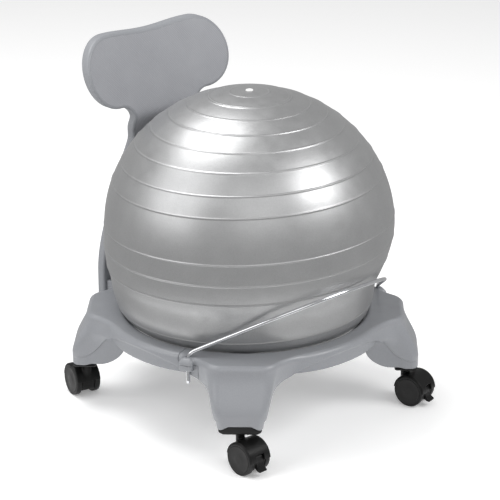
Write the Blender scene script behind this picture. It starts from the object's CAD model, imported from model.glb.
"""Visual model of a ball chair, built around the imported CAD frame.

Shapes are worked out in millimetres and turned into metres when a mesh is made.
The base, the backrest, the sockets and the caster hoods are smooth moulded forms: each
is a signed distance field, and its surface is meshed by surface_net().
"""
import math

import bmesh
import bpy
import numpy as np
from mathutils import Matrix, Vector


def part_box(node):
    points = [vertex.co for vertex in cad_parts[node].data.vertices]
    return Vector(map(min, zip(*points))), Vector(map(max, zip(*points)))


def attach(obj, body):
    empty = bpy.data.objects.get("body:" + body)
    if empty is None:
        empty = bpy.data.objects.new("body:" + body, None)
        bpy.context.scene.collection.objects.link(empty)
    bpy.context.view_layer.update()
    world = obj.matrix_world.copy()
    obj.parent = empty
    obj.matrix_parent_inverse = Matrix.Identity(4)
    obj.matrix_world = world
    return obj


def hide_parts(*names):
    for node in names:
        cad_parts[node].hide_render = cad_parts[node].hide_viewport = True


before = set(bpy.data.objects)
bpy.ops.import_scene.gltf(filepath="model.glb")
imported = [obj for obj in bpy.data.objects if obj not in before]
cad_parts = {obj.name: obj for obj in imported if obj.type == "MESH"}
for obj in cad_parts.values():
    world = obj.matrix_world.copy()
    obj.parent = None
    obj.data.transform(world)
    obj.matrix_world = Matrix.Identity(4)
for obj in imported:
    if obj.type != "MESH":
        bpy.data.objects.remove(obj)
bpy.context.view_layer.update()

MM = 0.001
VIEW_AZIMUTH = math.radians(-43.33)


# ---- camera, floor and light ----

def add_camera():
    elevation = math.radians(20.51)
    across = Vector((math.cos(VIEW_AZIMUTH), math.sin(VIEW_AZIMUTH), 0))
    back = Vector((math.sin(VIEW_AZIMUTH) * math.cos(elevation),
                   -math.cos(VIEW_AZIMUTH) * math.cos(elevation), math.sin(elevation)))
    target = across * 0.007 + Vector((0, 0, 0.25125))
    data = bpy.data.cameras.new("camera")
    data.sensor_width = 36
    data.lens = 159.65
    data.clip_end = 100
    cam = bpy.data.objects.new("camera", data)
    bpy.context.scene.collection.objects.link(cam)
    cam.location = target + back * 3.455
    cam.rotation_euler = (target - cam.location).to_track_quat("-Z", "Y").to_euler()
    bpy.context.scene.camera = cam


def area_light(name, azimuth, elevation, distance, size, power):
    """A square soft box, seen from the chair at that azimuth and elevation in degrees."""
    a, e = math.radians(azimuth), math.radians(elevation)
    aim = Vector((0, 0, 0.3))
    data = bpy.data.lights.new(name, "AREA")
    data.shape = "RECTANGLE"
    data.size = size
    data.size_y = size
    data.energy = power
    light = bpy.data.objects.new(name, data)
    bpy.context.scene.collection.objects.link(light)
    light.location = aim + distance * Vector(
        (math.sin(a) * math.cos(e), -math.cos(a) * math.cos(e), math.sin(e)))
    light.rotation_euler = (aim - light.location).to_track_quat("-Z", "Y").to_euler()


def add_stage():
    """White paper floor: a disc under the chair, and a ring beyond it that glossy parts don't mirror."""
    material = bpy.data.materials.new("floor_paper")
    material.use_nodes = True
    shader = material.node_tree.nodes["Principled BSDF"]
    shader.inputs["Base Color"].default_value = (0.93, 0.93, 0.93, 1)
    shader.inputs["Roughness"].default_value = 0.9
    shader.inputs["Specular IOR Level"].default_value = 0.1
    shader.inputs["Emission Color"].default_value = (1, 1, 1, 1)
    shader.inputs["Emission Strength"].default_value = 0.22
    sides, near, far = 64, 0.42, 60.0
    circle = [(math.cos(2 * math.pi * i / sides), math.sin(2 * math.pi * i / sides))
              for i in range(sides)]
    inner = [(near * x, near * y, 0) for x, y in circle]
    outer = [(far * x, far * y, 0) for x, y in circle]
    for name, points, faces in (
            ("floor", inner, [list(range(sides))]),
            ("floor_beyond", inner + outer,
             [(i, sides + i, sides + (i + 1) % sides, (i + 1) % sides) for i in range(sides)])):
        mesh = bpy.data.meshes.new(name)
        mesh.from_pydata(points, [], faces)
        mesh.materials.append(material)
        floor = bpy.data.objects.new(name, mesh)
        bpy.context.scene.collection.objects.link(floor)
        floor.visible_glossy = name == "floor"

    world = bpy.data.worlds.new("studio")
    bpy.context.scene.world = world
    world.use_nodes = True
    sky = world.node_tree.nodes["Background"]
    sky.inputs["Color"].default_value = (1, 1, 1, 1)
    sky.inputs["Strength"].default_value = 0.40
    bpy.context.scene.view_settings.view_transform = "Standard"
    bpy.context.scene.view_settings.look = "None"
    area_light("overhead", -156, 67, 2.6, 1.35, 40)
    area_light("front_right", 25, 38, 2.6, 1.1, 30)
    area_light("left_wall", -110, 30, 3.0, 2.4, 34)
    area_light("front_wall", -35, 34, 4.2, 3.0, 26)


# ---- materials ----

class Graph:
    """Short calls for building a material's nodes."""

    def __init__(self, name):
        self.material = bpy.data.materials.new(name)
        self.material.use_nodes = True
        self.tree = self.material.node_tree
        self.shader = self.tree.nodes["Principled BSDF"]
        self.position = self.tree.nodes.new("ShaderNodeTexCoord").outputs["Object"]

    def link(self, source, target):
        self.tree.links.new(source, target)

    def node(self, kind, **values):
        made = self.tree.nodes.new(kind)
        for key, value in values.items():
            setattr(made, key, value)
        return made

    def noise(self, size, detail):
        """Noise whose features are about that size in millimetres."""
        scaled = self.node("ShaderNodeMapping")
        scaled.inputs["Scale"].default_value = [1 / (size * MM)] * 3
        self.link(self.position, scaled.inputs["Vector"])
        made = self.node("ShaderNodeTexNoise")
        made.inputs["Scale"].default_value = 1
        made.inputs["Detail"].default_value = detail
        self.link(scaled.outputs["Vector"], made.inputs["Vector"])
        return made.outputs["Fac"]

    def between(self, factor, low, high, start=0.3, end=0.7):
        """Maps factor's range start..end to low..high."""
        made = self.node("ShaderNodeMapRange")
        for key, value in (("From Min", start), ("From Max", end), ("To Min", low), ("To Max", high)):
            made.inputs[key].default_value = value
        self.link(factor, made.inputs["Value"])
        return made.outputs["Result"]

    def mix_colour(self, factor, first, second):
        made = self.node("ShaderNodeMix", data_type="RGBA")
        self.link(factor, made.inputs["Factor"])
        for socket, value in ((made.inputs[6], first), (made.inputs[7], second)):
            if isinstance(value, tuple):
                socket.default_value = (*value, 1)
            else:
                self.link(value, socket)
        return made.outputs[2]

    def bump(self, height, distance, strength=1.0, under=None):
        """A normal for a bump of that height in millimetres, over the one under it."""
        made = self.node("ShaderNodeBump")
        made.inputs["Distance"].default_value = distance * MM
        made.inputs["Strength"].default_value = strength
        self.link(height, made.inputs["Height"])
        if under:
            self.link(under, made.inputs["Normal"])
        return made.outputs["Normal"]

    def set(self, **values):
        for key, value in values.items():
            self.shader.inputs[key.replace("_", " ")].default_value = value


def moulded_plastic(name, dark, light, grain, grain_height, rough, coarse=60.0, specular=0.5):
    """Moulded plastic: fine grain, and faint clouding in colour and gloss."""
    g = Graph(name)
    speck = g.noise(grain, 3)
    cloud = g.noise(coarse, 2)
    body = g.mix_colour(g.between(cloud, 0, 1), dark, light)
    tint = g.mix_colour(g.between(speck, 0, 1), body, tuple(1.16 * c for c in light))
    g.link(tint, g.shader.inputs["Base Color"])
    g.link(g.between(g.noise(coarse / 3, 3), rough - 0.05, rough + 0.06), g.shader.inputs["Roughness"])
    fine = g.bump(speck, grain_height)
    g.link(g.bump(g.noise(grain * 9, 2), grain_height * 1.4, 0.6, fine), g.shader.inputs["Normal"])
    g.set(Specular_IOR_Level=specular)
    return g.material


def woven_panel(name, dark, light):
    """The backrest's face: the same plastic with a fine crosshatched grain."""
    g = Graph(name)
    threads = []
    for angle in (38, -52):
        turned = g.node("ShaderNodeMapping")
        turned.inputs["Rotation"].default_value = (0, math.radians(angle), 0)
        g.link(g.position, turned.inputs["Vector"])
        wave = g.node("ShaderNodeTexWave", bands_direction="X")
        wave.inputs["Scale"].default_value = 0.314 / (2.4 * MM)
        wave.inputs["Distortion"].default_value = 1.2
        wave.inputs["Detail"].default_value = 2
        g.link(turned.outputs["Vector"], wave.inputs["Vector"])
        threads.append(wave.outputs["Fac"])
    cross = g.node("ShaderNodeMath", operation="MULTIPLY")
    g.link(threads[0], cross.inputs[0])
    g.link(threads[1], cross.inputs[1])
    body = g.mix_colour(g.between(g.noise(50, 2), 0, 1), dark, light)
    raised = g.between(cross.outputs[0], 0, 1, 0, 1)
    tint = g.mix_colour(raised, body, tuple(1.25 * c for c in light))
    g.link(tint, g.shader.inputs["Base Color"])
    g.link(g.between(g.noise(20, 3), 0.46, 0.56), g.shader.inputs["Roughness"])
    fine = g.bump(g.noise(0.9, 3), 0.05)
    g.link(g.bump(cross.outputs[0], 0.18, 0.8, fine), g.shader.inputs["Normal"])
    return g.material


def pearl_vinyl(name):
    """Pearly silver PVC: fine sparkle and soft clouding."""
    g = Graph(name)
    speck = g.noise(0.9, 2)
    cloud = g.noise(55, 3)
    body = g.mix_colour(g.between(cloud, 0, 1), (0.37, 0.372, 0.375), (0.41, 0.413, 0.415))
    tint = g.mix_colour(g.between(speck, 0, 0.22), body, (0.80, 0.80, 0.81))
    g.link(tint, g.shader.inputs["Base Color"])
    g.link(g.between(g.noise(14, 3), 0.36, 0.44), g.shader.inputs["Roughness"])
    fine = g.bump(speck, 0.035)
    g.link(g.bump(g.noise(7, 2), 0.06, 0.7, fine), g.shader.inputs["Normal"])
    g.set(Metallic=0.8, Specular_IOR_Level=0.5)
    return g.material


def metal(name, colour, rough):
    """Bright metal whose gloss varies finely."""
    g = Graph(name)
    mark = g.noise(2.0, 4)
    g.link(g.mix_colour(g.between(g.noise(18, 2), 0, 1), tuple(0.9 * c for c in colour), colour),
           g.shader.inputs["Base Color"])
    g.link(g.between(mark, rough * 0.7, rough * 1.4), g.shader.inputs["Roughness"])
    g.link(g.bump(mark, 0.01), g.shader.inputs["Normal"])
    g.set(Metallic=1.0)
    return g.material


# ---- meshing ----

def ramp(t):
    """A smooth step: 0 up to t = 0, 1 from t = 1."""
    t = np.clip(t, 0, 1)
    return t * t * (3 - 2 * t)


def round_max(a, b, r):
    """Intersection of two fields, its edge rounded to radius r."""
    return np.minimum(np.maximum(a, b), -r) + np.hypot(np.maximum(a + r, 0), np.maximum(b + r, 0))


def round_min(a, b, r):
    """Union of two fields with a fillet of radius r."""
    return -round_max(-a, -b, r)


def surface_net(field, low, high, step):
    """Vertices and quads of the surface field = 0, negative inside, all in millimetres."""
    low = np.array(low, float)
    count = [int(math.ceil((b - a) / step)) + 1 for a, b in zip(low, high)]
    axes = [np.float32(low[i]) + np.float32(step) * np.arange(count[i], dtype=np.float32)
            for i in range(3)]
    grid = np.meshgrid(*axes, indexing="ij", sparse=True)
    value = np.ascontiguousarray(np.broadcast_to(field(*grid), count), dtype=np.float32)
    inside = value < 0
    corners = sum(inside[i:count[0] - 1 + i, j:count[1] - 1 + j, k:count[2] - 1 + k].astype(np.int8)
                  for i in (0, 1) for j in (0, 1) for k in (0, 1))
    active = (corners > 0) & (corners < 8)
    cells = np.argwhere(active)
    number = np.full(active.shape, -1, np.int32)
    number[active] = np.arange(len(cells), dtype=np.int32)
    total, hits = np.zeros((len(cells), 3)), np.zeros(len(cells))
    unit = np.eye(3, dtype=int)
    for a in range(3):
        for i in (0, 1):
            for j in (0, 1):
                start = cells + i * unit[(a + 1) % 3] + j * unit[(a + 2) % 3]
                end = start + unit[a]
                f0, f1 = value[tuple(start.T)], value[tuple(end.T)]
                crossing = (f0 < 0) != (f1 < 0)
                t = (f0 / np.where(crossing, f0 - f1, 1))[crossing]
                total[crossing] += start[crossing] + t[:, None] * unit[a]
                hits[crossing] += 1
    points = low + step * total / hits[:, None]
    quads = []
    for a in range(3):
        b, c = unit[(a + 1) % 3], unit[(a + 2) % 3]
        first = inside[tuple(slice(0, count[i] - unit[a][i]) for i in range(3))]
        second = inside[tuple(slice(unit[a][i], count[i]) for i in range(3))]
        edges = np.argwhere(first != second)
        edges = edges[(edges[:, (a + 1) % 3] > 0) & (edges[:, (a + 2) % 3] > 0)
                      & (edges[:, (a + 1) % 3] < count[(a + 1) % 3] - 1)
                      & (edges[:, (a + 2) % 3] < count[(a + 2) % 3] - 1)]
        around = np.stack([number[tuple((edges - s).T)] for s in (b + c, c, 0 * b, b)], 1)
        leaving = inside[tuple(edges.T)]
        quads.append(np.where(leaving[:, None], around, around[:, ::-1]))
    return settle(field, points, step), np.concatenate(quads)


def settle(field, points, step):
    """Moves each point onto the surface along the field's slope."""
    tiny = 0.25 * step
    for _ in range(3):
        x, y, z = points.T
        slope = np.stack([field(x + tiny, y, z) - field(x - tiny, y, z),
                          field(x, y + tiny, z) - field(x, y - tiny, z),
                          field(x, y, z + tiny) - field(x, y, z - tiny)], 1) / (2 * tiny)
        size = np.maximum((slope ** 2).sum(1), 0.05)
        move = -(field(x, y, z) / size)[:, None] * slope
        length = np.linalg.norm(move, axis=1)
        move *= np.minimum(1, 0.5 * step / np.maximum(length, 1e-9))[:, None]
        points = points + move
    return points


def piece(name, points, faces, material, body, replaced, matrix=None):
    """Makes an object from points in millimetres, and says what it rides on and stands for."""
    points = np.asarray(points, float) * MM
    faces = np.asarray(faces)
    mesh = bpy.data.meshes.new(name)
    mesh.vertices.add(len(points))
    mesh.vertices.foreach_set("co", points.astype(np.float32).ravel())
    mesh.loops.add(faces.size)
    mesh.loops.foreach_set("vertex_index", faces.astype(np.int32).ravel())
    mesh.polygons.add(len(faces))
    mesh.polygons.foreach_set("loop_start", np.arange(len(faces), dtype=np.int32) * faces.shape[1])
    mesh.update(calc_edges=True)
    mesh.validate()
    if matrix is not None:
        mesh.transform(matrix)
    mesh.shade_smooth()
    mesh.materials.append(material)
    made = bpy.data.objects.new(name, mesh)
    bpy.context.scene.collection.objects.link(made)
    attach(made, body)
    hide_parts(*replaced)
    return made


def lathe(profile, columns):
    """Vertices and quads of a profile of (radius, height) turned about Z. Radius 0 ends are poles."""
    profile = np.asarray(profile, float)
    angle = np.linspace(0, 2 * math.pi, columns, endpoint=False)
    rings = np.stack([profile[:, :1] * np.cos(angle), profile[:, :1] * np.sin(angle),
                      np.repeat(profile[:, 1:], columns, 1)], 2)
    return rings.reshape(-1, 3), strip_quads(len(profile), columns)


def strip_quads(rows, columns):
    """Quads between closed rows of points, row after row, outward where rows rise anticlockwise."""
    i = np.arange(rows - 1)[:, None] * columns
    j = np.arange(columns)[None, :]
    k = (j + 1) % columns
    return np.stack([i + j, i + k, i + columns + k, i + columns + j], 2).reshape(-1, 4)


def weld(made, distance=1e-6):
    """Joins the points that meet at a pole or an end."""
    bm = bmesh.new()
    bm.from_mesh(made.data)
    bmesh.ops.remove_doubles(bm, verts=bm.verts, dist=distance)
    bmesh.ops.dissolve_degenerate(bm, edges=bm.edges, dist=distance)
    bm.to_mesh(made.data)
    bm.free()
    made.data.shade_smooth()


# ---- the ball's shape, which the base and the backrest follow ----

BALL_R, BALL_C, BALL_Z = 225.0, 212.0, 298.0
SAG = 22.0
LEAN_TO = VIEW_AZIMUTH


def sag(z):
    """How far the soft ball spreads beyond its round shape, low down where it beds in the ring."""
    return SAG * ramp((225 - z) / 75)


def ball_under(r):
    """Height of the ball's underside at radius r."""
    return BALL_Z - BALL_C * np.sqrt(np.maximum(0, 1 - ((r - SAG) / BALL_R) ** 2))


def lean(z):
    """How far the soft ball's middle has slumped sideways at that height."""
    return 9.2 * ramp((z - 200) / 110) - 3 * ramp((z - 140) / 60)


# ---- base ----

RING_TOP, RING_BOTTOM, RING_IN, RING_OUT = 160.0, 129.0, 189.0, 222.0
LUG_OUT, LAP_GAP, SEAT_Y = 224.0, 0.15, 231.8
SIN_LAP, COS_LAP = math.sin(math.radians(24.4)), math.cos(math.radians(24.4))


def corner_frame(x, y):
    """Distance out along a leg, and distance sideways from its middle."""
    return (abs(x) + abs(y)) / math.sqrt(2), abs(abs(y) - abs(x)) / math.sqrt(2)


def leg_field(u, v, z):
    """A leg that widens upwards, hollowed under its foot for the black insert."""
    up = np.clip((z - 66) / 94, 0, 1)
    half = 47 - 13 * np.clip((160 - z) / 94, 0, 1.2) ** 2.2
    flare = 0.05 + 0.4 * up ** 2.5
    face = 272 - 23 * ramp((z - 88) / 64)
    side = (v - half - flare * np.maximum(face - u, 0)) / np.sqrt(1 + flare ** 2)
    under = (np.hypot(np.maximum(230 - u, 0) / 50, np.maximum(132 - z, 0) / 66) - 1) * 57
    leg = round_max(round_max(u - face, side, 12 + 5 * up), under, 3)
    recess = np.maximum(np.maximum(234.5 - u, v - 36.2), z - lens_top(v) - 0.3)
    return np.maximum(leg, -recess)


def lens_top(v):
    """Upper edge of the black insert under a leg, across the leg."""
    return 74 - 7.5 * np.clip((v - 17) / 14, 0, 1.4)


def base_field(x, y, z):
    """The whole base, both halves, with a moulded step under its top band."""
    u, v = corner_frame(x, y)
    r = np.hypot(x, y)
    legs = leg_field(u, v, z)
    ring = round_max(r - RING_OUT, RING_BOTTOM - z, 1.5)
    body = round_min(ring, legs, 26)
    crease = 80 + 72 / (1 + np.exp(np.clip((u - 220) / 12.5, -30, 30)))
    inset = (1.2 + 1.8 * ramp((u - 180) / 35)) * ramp((crease - z) / 2.4)
    inset = inset * (1 - ramp((u - 240) / 14) * ramp((40 - v) / 10))
    body = body + inset
    across, along = lug_frame(x, y)
    lugs = round_max(across - 236, abs(along) - 11, 4.5)
    lugs = round_max(lugs, np.maximum(200 - across, 140 - z), 2.5)
    body = round_min(body, lugs, 3)
    body = round_max(body, z - RING_TOP, 8.5)
    body = round_max(body, RING_IN - r, 9)
    post = np.maximum(np.maximum(140 - u, u - 163), z - ball_under(r) + 0.4)
    arm = np.minimum(post, np.maximum(np.maximum(160 - u, u - 206), z - 131))
    arm = round_max(arm, np.maximum(v - 20, 112 - z), 2)
    return round_min(body, arm, 5)


def lug_frame(x, y):
    """Distance out along the line of the nearer lap joint's lug, and sideways from it."""
    return abs(x) * COS_LAP - y * SIN_LAP, abs(x) * SIN_LAP + y * COS_LAP


def lap_region(x, y, z):
    """Negative where the front half has the material, split along a stepped joint."""
    s1 = -y * math.cos(math.radians(28.9)) - abs(x) * math.sin(math.radians(28.9))
    s2 = -y * math.cos(math.radians(19.9)) - abs(x) * math.sin(math.radians(19.9))
    return np.minimum(-s1, np.maximum(-s2, 149 - z))


def lug_holes(x, y, body):
    """Bores the holes that the restraint bar's ends drop through."""
    across, along = lug_frame(x, y)
    return np.maximum(body, 3.4 - np.hypot(across - LUG_OUT, along))


def front_field(x, y, z):
    return lug_holes(x, y, np.maximum(base_field(x, y, z), lap_region(x, y, z) + LAP_GAP))


def rear_field(x, y, z):
    """The rear half with the flat seat that the backrest is bolted to."""
    seat = np.maximum(abs(x) - 90, np.maximum(y - SEAT_Y, 195 - y))
    seat = round_max(seat, np.maximum(z - RING_TOP, RING_BOTTOM - z), 2)
    seat = np.maximum(seat, RING_IN + 1 - np.hypot(x, y))
    body = round_min(base_field(x, y, z), seat, 6)
    body = np.maximum(body, y - SEAT_Y)
    return lug_holes(x, y, np.maximum(body, LAP_GAP - lap_region(x, y, z)))


def mesh_step(fine):
    return fine


def add_base(plastic):
    step = mesh_step(1.25)
    points, quads = surface_net(front_field, (-240, -240, 64), (240, -68, 164), step)
    piece("front_base_shell", points, quads, plastic, "root", ["front_base"])
    points, quads = surface_net(rear_field, (-240, -140, 64), (240, 238, 164), step)
    piece("rear_base_shell", points, quads, plastic, "root", ["rear_base"])


# ---- backrest ----

BACK_HALF, BACK_TOP, BACK_T = 145.0, 569.0, 17.0
LOBE_R, FILLET_R, WAIST, WAIST_Z = 55.0, 26.0, 46.0, 385.0
LOBE_X, LOBE_Z = BACK_HALF - LOBE_R, BACK_TOP - LOBE_R
FOOT_HALF, FOOT_Z, FOOT_SQUARE_Z, BACK_Y = 96.0, 122.0, 172.0, 232.0
BOLT_XS, BOLT_Z, BOLT_HOLE_R = (-72, -30, 30, 72), 145, 3.3


def back_face(z):
    """Y of the backrest's front face in its middle: it hugs the ball, then leans back."""
    leaning = 192 + (z - 474) * math.tan(math.radians(20))
    beside = (BALL_R + 7) * np.sqrt(np.maximum(0, 1 - (np.maximum(z - BALL_Z, 0) / (BALL_C + 7)) ** 2))
    soft = (leaning + beside + np.sqrt((leaning - beside) ** 2 + 12 ** 2)) / 2
    return np.where(z > 300, soft, BACK_Y)


def back_outline():
    """Half the outline from the top's middle down, as (x, z)."""
    def ease(t):
        return (1 - math.cos(math.pi * min(1, max(0, t)))) / 2

    def neck(z):
        if z > WAIST_Z:
            return WAIST + (LOBE_X - FILLET_R - WAIST) * ease(
                (z - WAIST_Z) / (LOBE_Z - LOBE_R - FILLET_R - WAIST_Z))
        return WAIST + (FOOT_HALF - WAIST) * ease((WAIST_Z - z) / (WAIST_Z - FOOT_SQUARE_Z))

    half = [(LOBE_X * i / 9, BACK_TOP - 5 * math.cos(math.radians(10 * i)) ** 2) for i in range(10)]
    for a in range(86, -91, -4):
        half.append((LOBE_X + LOBE_R * math.cos(math.radians(a)),
                     LOBE_Z + LOBE_R * math.sin(math.radians(a))))
    for a in range(94, 181, 6):
        half.append((LOBE_X + FILLET_R * math.cos(math.radians(a)),
                     LOBE_Z - LOBE_R - FILLET_R + FILLET_R * math.sin(math.radians(a))))
    half += [(neck(z), z) for z in range(426, 173, -7)]
    half += [(FOOT_HALF, FOOT_SQUARE_Z)]
    half += [(FOOT_HALF - 10 + 10 * math.cos(math.radians(a)),
              FOOT_Z + 10 + 10 * math.sin(math.radians(a))) for a in range(0, -91, -15)]
    return half


def outline_distance():
    """A function of (x, z) giving the signed distance to the outline, sampled from a fine table."""
    half = back_outline()
    loop = np.array(half + [(-x, z) for x, z in reversed(half[1:])])
    xs, zs = np.arange(-160, 161, 1.0), np.arange(108, 584, 1.0)
    gx, gz = (a.ravel() for a in np.meshgrid(xs, zs, indexing="ij"))
    best = np.full(gx.shape, 1e9)
    crossings = np.zeros(gx.shape, int)
    for (ax, az), (bx, bz) in zip(loop, np.roll(loop, -1, 0)):
        dx, dz = bx - ax, bz - az
        t = np.clip(((gx - ax) * dx + (gz - az) * dz) / max(dx * dx + dz * dz, 1e-9), 0, 1)
        best = np.minimum(best, np.hypot(gx - ax - t * dx, gz - az - t * dz))
        spans = (az > gz) != (bz > gz)
        crossings += spans & (gx < ax + (gz - az) * dx / (dz if dz else 1))
    table = np.where(crossings % 2 == 1, -best, best).reshape(len(xs), len(zs))

    def sample(x, z):
        fx, fz = np.clip(x - xs[0], 0, len(xs) - 1.001), np.clip(z - zs[0], 0, len(zs) - 1.001)
        i, k = fx.astype(int), fz.astype(int)
        a, c = fx - i, fz - k
        return ((table[i, k] * (1 - a) + table[i + 1, k] * a) * (1 - c)
                + (table[i, k + 1] * (1 - a) + table[i + 1, k + 1] * a) * c)
    return sample


def add_backrest(plastic, panel):
    edge = outline_distance()

    def field(x, y, z):
        forward = 0.0006 * x * x * ramp((z - 330) / 110)
        squared_up = 1 / np.sqrt(1 + (0.36 * ramp((z - 440) / 60)) ** 2)
        thick = (abs(y - back_face(z) + forward - BACK_T / 2)) * squared_up - BACK_T / 2
        slab = round_max(edge(x, z), thick, 4)
        holes = np.full_like(slab, -1e3)
        for bolt_x in BOLT_XS:
            holes = np.maximum(holes, BOLT_HOLE_R - np.hypot(x - bolt_x, z - BOLT_Z))
        return np.maximum(slab, holes)

    step = mesh_step(1.25)
    points, quads = surface_net(field, (-150, 166, 116), (150, 262, 576), step)
    made = piece("backrest_shell", points, quads, plastic, "root", ["backrest"])
    made.data.materials.append(panel)
    centre = points[quads].mean(1)
    depth = edge(centre[:, 0], centre[:, 2])
    forward = 0.0006 * centre[:, 0] ** 2 * ramp((centre[:, 2] - 330) / 110)
    facing = centre[:, 1] < back_face(centre[:, 2]) - forward + 3
    textured = facing & (depth < -5) & (centre[:, 2] > 200)
    made.data.polygons.foreach_set("material_index", textured.astype(np.int32))


# ---- ball and plug ----

# parametric latitudes of the raised ribs in degrees, and radii of the rings around the valve in mm
RIBS = [73.3, 65.2, 57.2, 48.7, 39.9, 30.6, 21.9, 3.3, -5.7, -14.5, -35.0, -48.0, -60.0]
POLE_RINGS = [30.5, 61.5]
RIB_HEIGHT, RING_HEIGHT, RIB_HALF_WIDTH = 0.75, 0.55, 1.3


def add_ball(vinyl, white):
    """The ball's skin: rows of points at parametric latitudes, close together at each raised rib."""
    mid = 0.5 * (BALL_R + BALL_C)
    rib_half = math.degrees(RIB_HALF_WIDTH / mid)
    ribs = [(a, RIB_HEIGHT) for a in RIBS]
    ribs += [(math.degrees(math.acos(r / BALL_R)), RING_HEIGHT) for r in POLE_RINGS]
    rows = set(np.linspace(-90, 90, 230).round(4))
    for a, _ in ribs:
        rows |= set((a + rib_half * np.linspace(-2.4, 2.4, 13)).round(4))
    rows = np.array(sorted(r for r in rows if -90 <= r <= 90))
    raised = np.zeros(len(rows))
    for a, height in ribs:
        raised += height * np.exp(-((rows - a) / rib_half) ** 2)
    columns = 288
    turn = np.linspace(0, 2 * math.pi, columns, endpoint=False)
    tilt = 2.4 * ramp((75 - np.abs(rows)) / 60)
    latitude = np.radians(rows[:, None] + tilt[:, None] * np.cos(turn - LEAN_TO))
    latitude = np.clip(latitude, -math.pi / 2, math.pi / 2)
    out_r, out_c = BALL_R + raised[:, None], BALL_C + raised[:, None]
    z = BALL_Z + out_c * np.sin(latitude)
    across = out_r * np.cos(latitude) + sag(z) * ramp(np.cos(latitude) / 0.5)
    x = across * np.cos(turn) + lean(z) * math.cos(LEAN_TO)
    y = across * np.sin(turn) + lean(z) * math.sin(LEAN_TO)
    weld(piece("ball_skin", np.stack([x, y, z], 2).reshape(-1, 3), strip_quads(len(rows), columns),
               vinyl, "ball", ["ball"]))
    top = BALL_Z + BALL_C
    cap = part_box("ball_plug")[1].z / MM - top
    profile = [(0, -9), (3.6, -9), (4, -8.5), (4, -0.4), (5.9, -0.2), (6, 0.1), (5.7, cap - 0.7),
               (5.2, cap - 0.2), (4.5, cap), (2.2, cap - 0.1), (1.9, cap - 0.6), (0, cap - 0.7)]
    points, quads = lathe([(r, top + h) for r, h in profile], 48)
    points = points + lean(top) * np.array((math.cos(LEAN_TO), math.sin(LEAN_TO), 0))
    weld(piece("valve_plug", points, quads, white, "plug", ["ball_plug"]))


# ---- restraint bar ----

def add_bar(chrome):
    """A rod up from each lug, bent over into one bow that leans forward across the ball."""
    x0, y0 = LUG_OUT * COS_LAP, -LUG_OUT * SIN_LAP
    slope, rise, arc_r, bend_z, bend_r = math.radians(32), 161.0, 166.0, 165.0, 8.0
    foot_z, bare_z, near_bend = 117.6, 122, 12
    middle_v = rise - arc_r
    start = math.acos(arc_r / math.hypot(x0, middle_v)) - math.atan2(middle_v, x0)
    flat = [(x0, 0)]
    flat += [(arc_r * math.cos(t), middle_v + arc_r * math.sin(t))
             for t in np.linspace(start, math.pi - start, 97)]
    flat += [(-x0, 0)]
    steps = [[((1 - k / 8) * a[0] + k / 8 * b[0], (1 - k / 8) * a[1] + k / 8 * b[1]) for k in range(8)]
             for a, b in ((flat[0], flat[1]), (flat[-2], flat[-1]))]
    flat = steps[0] + flat[1:-2] + steps[1] + [flat[-1]]
    arc = [(x, y0 - v * math.cos(slope), bend_z + v * math.sin(slope)) for x, v in flat]
    route = [(x0, y0, foot_z)] + [(x0, y0, z) for z in np.linspace(bare_z, bend_z - near_bend, 6)]
    middle = [p for p in arc if math.dist(p, arc[0]) > near_bend and math.dist(p, arc[-1]) > near_bend]

    def knuckle(corner, before, after):
        a, b, c = Vector(before), Vector(corner), Vector(after)
        p, q = b + (a - b).normalized() * bend_r * 1.3, b + (c - b).normalized() * bend_r * 1.3
        return [tuple((1 - t) ** 2 * p + 2 * t * (1 - t) * b + t * t * q) for t in np.linspace(0, 1, 9)]

    route += knuckle(arc[0], route[-1], middle[0]) + middle
    route += knuckle(arc[-1], middle[-1], (-x0, y0, bend_z - near_bend))
    route += [(-x0, y0, z) for z in np.linspace(bend_z - near_bend, bare_z, 6)] + [(-x0, y0, foot_z)]
    route = [p for i, p in enumerate(route) if i == 0 or math.dist(p, route[i - 1]) > 0.5]
    points, quads = tube(route, 3.0, 20)
    weld(piece("restraint_bar_rod", points, quads, chrome, "restraint_bar", ["restraint_bar"]))


def tube(route, radius, sides):
    """A round rod along the route, with rounded-off ends."""
    route = np.array(route, float)
    tangent = np.gradient(route, axis=0)
    tangent /= np.linalg.norm(tangent, axis=1)[:, None]
    ends = [(0.0, 1e-3), (0.15, 0.55), (0.5, 0.87), (1.1, 1.0)]
    rows = [(route[0] + tangent[0] * (d - 1.1), tangent[0], radius * f) for d, f in ends]
    rows += [(p, t, radius) for p, t in zip(route[1:-1], tangent[1:-1])]
    rows += [(route[-1] - tangent[-1] * (d - 1.1), tangent[-1], radius * f) for d, f in reversed(ends)]
    side = np.cross(rows[0][1], (0, 1, 0.3))
    turn = np.linspace(0, 2 * math.pi, sides, endpoint=False)
    points = []
    for centre, direction, size in rows:
        side = side - direction * side.dot(direction)
        side /= np.linalg.norm(side)
        other = np.cross(direction, side)
        points.append(centre + size * (np.cos(turn)[:, None] * side + np.sin(turn)[:, None] * other))
    return np.concatenate(points), strip_quads(len(rows), sides)


# ---- sockets and casters ----

STEM = 179.0
SPOTS = {"front_right": (-1, -1, 0), "front_left": (1, -1, 12),
         "rear_right": (-1, 1, 166), "rear_left": (1, 1, 0)}
WHEEL_R, TRAIL, HOOD_HALF, HALF_W, WHEEL_W = 25.0, 18.0, 10.8, 20.5, 9.0


def place(spot, angle=None):
    """Matrix of a caster's own frame, whose origin is on the floor below the stem."""
    sx, sy, yaw = SPOTS[spot]
    return Matrix.Translation((sx * STEM * MM, sy * STEM * MM, 0)) @ Matrix.Rotation(
        math.radians(yaw if angle is None else angle), 4, "Z")


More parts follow.
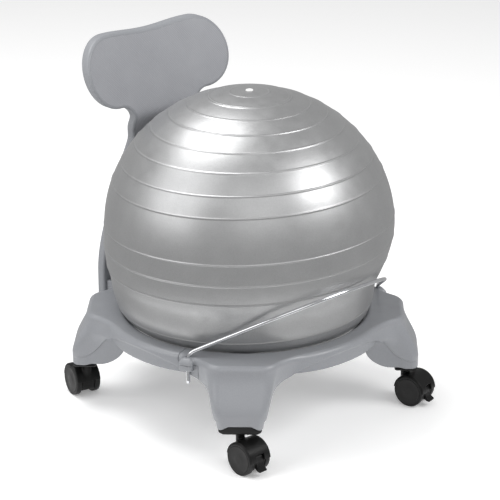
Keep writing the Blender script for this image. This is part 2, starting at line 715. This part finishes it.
def socket_field(x, y, z):
    """X runs out along the leg, Y across it."""
    v = abs(y)
    bottom = 60.5 + 3 * ramp((v - 24) / 8) + 5 * np.clip((v - 31) / 5, 0, 1.2)
    lens = round_max(round_max(abs(x) - 18, v - 35.8, 8), bottom - z, 4)
    lens = round_max(lens, (z - lens_top(v)) * 0.9, 0.8)
    sleeve = np.maximum(np.hypot(x, y) - 8, np.maximum(66 - z, z - 86))
    return np.maximum(np.minimum(lens, sleeve), 4.15 - np.hypot(x, y))


def hood_field(braked):
    def field(x, y, z):
        ry, rz = y + TRAIL, z - WHEEL_R
        r = np.hypot(ry, rz)
        ax = abs(x)
        core = round_max(round_max(r - 24, 10 - z, 2), ax - HOOD_HALF, 1.5)
        level = np.where(ry > 0, 28.0, 26.0)
        cover = round_max(r - 27, ax - 20, 1.4)
        fender = round_max(np.maximum(cover, 25.5 - r), level - z, 0.4)
        bridge = np.maximum(np.maximum(cover, ax - HOOD_HALF), level - z)
        body = round_min(core, np.minimum(fender, bridge), 0.8)
        neck = np.maximum(np.hypot(x, y) - 6.8, np.maximum(z - 58.4, 34 - z))
        body = round_min(body, neck, 2.5)
        body = np.maximum(body, 3.15 - r)
        if braked:
            slot = np.maximum(ax - 7.6, np.maximum(ry + 13.5, z - 36))
            body = np.maximum(body, -slot)
        return body
    return field


def wheel_profile():
    """Half section of a wheel, radius against distance from its inner face, dished for its cap."""
    return [(3.1, 0), (9, 0), (9.6, 0.5), (20, 0.5), (22, 0), (24.0, 0), (24.6, 0.25), (25, 1.0),
            (25, 7.6), (24.7, 8.5), (24.0, 8.95), (22.0, 9.0), (21.6, 8.8), (21.5, 7.2), (3.1, 7.2)]


def cap_profile():
    return [(0, 7.2), (21.0, 7.2), (21.35, 7.5), (21.35, 8.9), (21.0, 9.25), (20.2, 9.3), (19.4, 9.1),
            (18.6, 8.95), (8.0, 9.05), (7.4, 9.2), (6.6, 9.25), (0, 9.3)]


def add_casters(black, tyre, cap_plastic, socket_plastic):
    step = mesh_step(0.55)
    shapes = {braked: surface_net(hood_field(braked), (-22, -48, 5), (22, 14, 60), step)
              for braked in (True, False)}
    socket_shape = surface_net(socket_field, (-20, -38, 58), (20, 38, 88), mesh_step(0.8))
    columns = 96
    wheel_points, wheel_quads = lathe(wheel_profile(), columns)
    ring, last = np.arange(columns), (len(wheel_profile()) - 1) * columns
    ahead = (ring + 1) % columns
    wheel_quads = np.concatenate([wheel_quads, np.stack([last + ring, last + ahead, ahead, ring], 1)])
    cap_points, cap_quads = lathe(cap_profile(), columns)
    for spot, (sx, sy, yaw) in SPOTS.items():
        out = math.degrees(math.atan2(sy, sx))
        out_side = sx if abs(yaw) < 90 else -sx
        points, quads = socket_shape
        piece(spot + "_socket_insert", points, quads, socket_plastic, "root",
              [spot + "_socket"], place(spot, out))
        braked = sy < 0
        points, quads = shapes[braked]
        piece(spot + "_caster_hood", points, quads, black, spot + "_swivel",
              [spot + "_hood"], place(spot))
        for side, s in (("outer", out_side), ("inner", -out_side)):
            to_side = place(spot) @ Matrix.Translation((0, -TRAIL * MM, WHEEL_R * MM)) @ Matrix.Rotation(
                math.radians(90 * s), 4, "Y") @ Matrix.Translation((0, 0, (HALF_W - WHEEL_W) * MM))
            body = f"{spot}_{side}_wheel"
            piece(f"{body}_tyre", wheel_points, wheel_quads, tyre, body,
                  [body], to_side)
            weld(piece(f"{body}_disc", cap_points, cap_quads, cap_plastic, body,
                       [f"{spot}_{side}_cap"], to_side))
        if braked:
            add_lever(spot, black)


def add_lever(spot, plastic):
    """The brake's pedal: its side outline swept across, with softened edges."""
    outline = [(3.0, 1.2), (2.4, -3), (0, -10), (-3, -17.6), (-6.5, -19.6), (-11, -20), (-12.6, -19.2),
               (-12.9, -17.7), (-10, -15.8), (-6, -13), (-4.4, -8), (-4, -3), (-3.0, 1.2), (-1.6, 2.7),
               (0, 3.2), (1.7, 2.7)]
    pivot_y, pivot_z = -TRAIL - 19.5, 30
    half = 7.0
    rows = []
    for x, grow in ((-half, -0.8), (-half + 0.7, 0), (half - 0.7, 0), (half, -0.8)):
        centre = np.mean(outline, 0)
        rows.append([(x, pivot_y + centre[0] + (p[0] - centre[0]) * (1 + grow / 9),
                      pivot_z + centre[1] + (p[1] - centre[1]) * (1 + grow / 9)) for p in outline])
    points = np.array(rows).reshape(-1, 3)
    n = len(outline)
    mesh = bpy.data.meshes.new(spot + "_brake_pedal")
    quads = strip_quads(4, n).tolist()
    ends = [list(range(n)), list(range(4 * n - 1, 3 * n - 1, -1))]
    mesh.from_pydata((points * MM).tolist(), [], quads + ends)
    mesh.transform(place(spot))
    mesh.materials.append(plastic)
    made = bpy.data.objects.new(mesh.name, mesh)
    bpy.context.scene.collection.objects.link(made)
    fix_normals(made)
    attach(made, spot + "_lever")
    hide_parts(spot + "_brake_lever")


def fix_normals(made):
    bm = bmesh.new()
    bm.from_mesh(made.data)
    bmesh.ops.recalc_face_normals(bm, faces=bm.faces)
    bm.to_mesh(made.data)
    bm.free()


# ---- all together ----

add_camera()
add_stage()

grey_dark, grey_light = (0.215, 0.222, 0.238), (0.242, 0.249, 0.265)
base_plastic = moulded_plastic("base_plastic", grey_dark, grey_light, 0.8, 0.06, 0.34, specular=0.6)
back_plastic = moulded_plastic("backrest_plastic", grey_dark, grey_light, 0.8, 0.06, 0.44)
back_panel = woven_panel("backrest_panel", (0.265, 0.27, 0.29), (0.295, 0.30, 0.32))
black = moulded_plastic("caster_plastic", (0.004, 0.004, 0.004), (0.006, 0.006, 0.006),
                        0.7, 0.02, 0.36, 30, 0.22)
tyre = moulded_plastic("wheel_plastic", (0.006, 0.006, 0.006), (0.009, 0.009, 0.009),
                       0.7, 0.03, 0.42, 30, 0.3)
cap_grey = moulded_plastic("cap_plastic", (0.012, 0.0115, 0.0115), (0.017, 0.0165, 0.0165),
                           0.6, 0.02, 0.45, 30, 0.25)
insert_black = moulded_plastic("socket_plastic", (0.006, 0.006, 0.006), (0.009, 0.009, 0.009),
                               0.7, 0.03, 0.45, 30, 0.3)
vinyl = pearl_vinyl("ball_vinyl")
white = moulded_plastic("white_plastic", (0.72, 0.72, 0.71), (0.78, 0.78, 0.77), 0.7, 0.02, 0.4, 20)
chrome = metal("chrome", (0.80, 0.81, 0.83), 0.12)
steel = metal("steel", (0.62, 0.62, 0.63), 0.3)
brass = metal("brass", (0.72, 0.55, 0.28), 0.3)

add_base(base_plastic)
add_backrest(back_plastic, back_panel)
add_ball(vinyl, white)
add_bar(chrome)
add_casters(black, tyre, cap_grey, insert_black)

for name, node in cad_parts.items():
    if node.hide_render:
        continue
    node.data.materials.clear()
    node.data.materials.append(brass if "insert" in name and "backrest" in name else steel)
